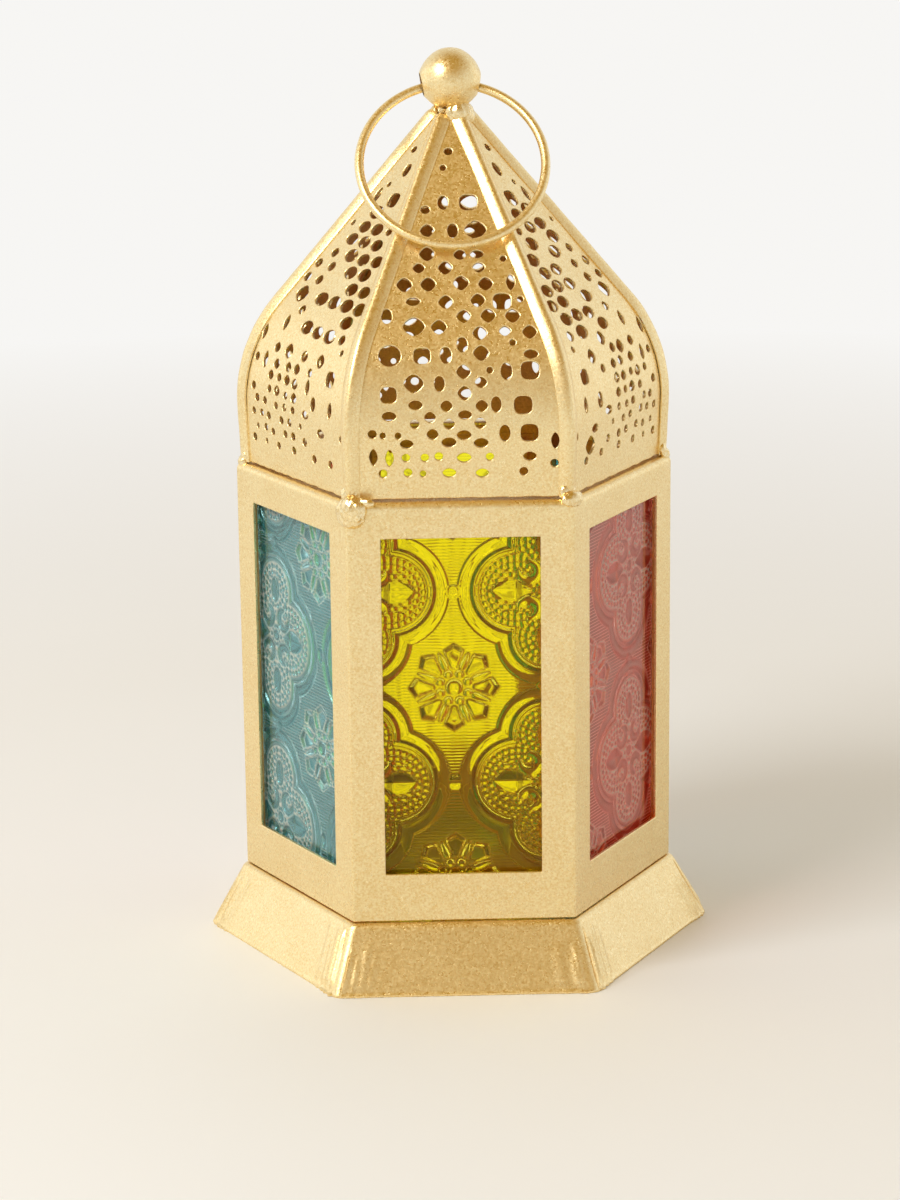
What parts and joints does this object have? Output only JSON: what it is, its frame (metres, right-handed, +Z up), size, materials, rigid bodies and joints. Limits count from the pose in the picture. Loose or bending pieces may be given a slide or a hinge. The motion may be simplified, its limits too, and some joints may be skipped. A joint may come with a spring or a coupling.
{
  "type": "lantern",
  "caption": "Six-sided iron lantern with patterned coloured glass, a hinged door, a perforated pointed dome and a hanging ring.",
  "frame": {"origin": "on the lantern's axis, on the surface it stands on", "axes": "+Z up; -Y is the front face; the door is in the +Y face"},
  "size_m": [0.1184, 0.1026, 0.2055],
  "materials": {
    "gold_iron": "satin champagne-gold paint on thin iron sheet, slightly speckled, darker in folds",
    "gold_iron_inner": "the same paint on the inner strips, duller",
    "solder": "lumpy soft solder under the same gold paint, glossier",
    "tin": "plain tinned sheet",
    "glass_yellow": "pressed relief glass, yellow",
    "glass_red": "pressed relief glass, red",
    "glass_teal": "pressed relief glass, teal"
  },
  "bodies": {
    "lantern": {"pressed_base": "gold_iron", "candle_cup": "tin", "body_shell_front": "gold_iron", "body_shell_back": "gold_iron", "glass_right_back": "glass_teal", "channel_right_back_a": "gold_iron_inner", "channel_right_back_b": "gold_iron_inner", "glass_left_back": "glass_red", "channel_left_back_a": "gold_iron_inner", "channel_left_back_b": "gold_iron_inner", "glass_left_front": "glass_teal", "channel_left_front_a": "gold_iron_inner", "channel_left_front_b": "gold_iron_inner", "glass_front": "glass_yellow", "channel_front_a": "gold_iron_inner", "channel_front_b": "gold_iron_inner", "glass_right_front": "glass_red", "channel_right_front_a": "gold_iron_inner", "channel_right_front_b": "gold_iron_inner", "hinge_body_leaf_lower": "gold_iron", "hinge_pin_lower": "gold_iron", "hinge_body_leaf_upper": "gold_iron", "hinge_pin_upper": "gold_iron", "button_rivet": "gold_iron", "dome_panel_right_back": "gold_iron", "dome_panel_back": "gold_iron", "dome_panel_left_back": "gold_iron", "dome_panel_left_front": "gold_iron", "dome_panel_front": "gold_iron", "dome_panel_right_front": "gold_iron", "dome_rib_right": "gold_iron", "solder_right": "solder", "dome_rib_back_right": "gold_iron", "solder_back_right": "solder", "dome_rib_back_left": "gold_iron", "solder_back_left": "solder", "dome_rib_left": "gold_iron", "solder_left": "solder", "dome_rib_front_left": "gold_iron", "solder_front_left": "solder", "dome_rib_front_right": "gold_iron", "solder_front_right": "solder", "finial_neck": "solder", "finial_ball": "gold_iron"},
    "door": {"door_frame": "gold_iron", "glass_door": "glass_yellow", "channel_door_a": "gold_iron_inner", "channel_door_b": "gold_iron_inner", "hinge_door_leaf_lower": "gold_iron", "hinge_door_leaf_upper": "gold_iron"},
    "turn_button": {"turn_button": "gold_iron"},
    "ring": {"hanging_ring": "gold_iron"}
  },
  "joints": [
    {"name": "ring_swing", "type": "hinge", "parent": "lantern", "child": "ring", "pos_m": [0, 0, 0.19734], "axis": [-1, 0, 0], "range_deg": [0, 281.4]},
    {"name": "door_swing", "type": "hinge", "parent": "lantern", "child": "door", "pos_m": [0.02263, 0.0451, 0.0635], "axis": [0, 0, -1], "range_deg": [0, 120]},
    {"name": "button_turn", "type": "hinge", "parent": "lantern", "child": "turn_button", "pos_m": [-0.0236, 0.0451, 0.0634], "axis": [0, 1, 0], "range_deg": [0, 90]}
  ]
}
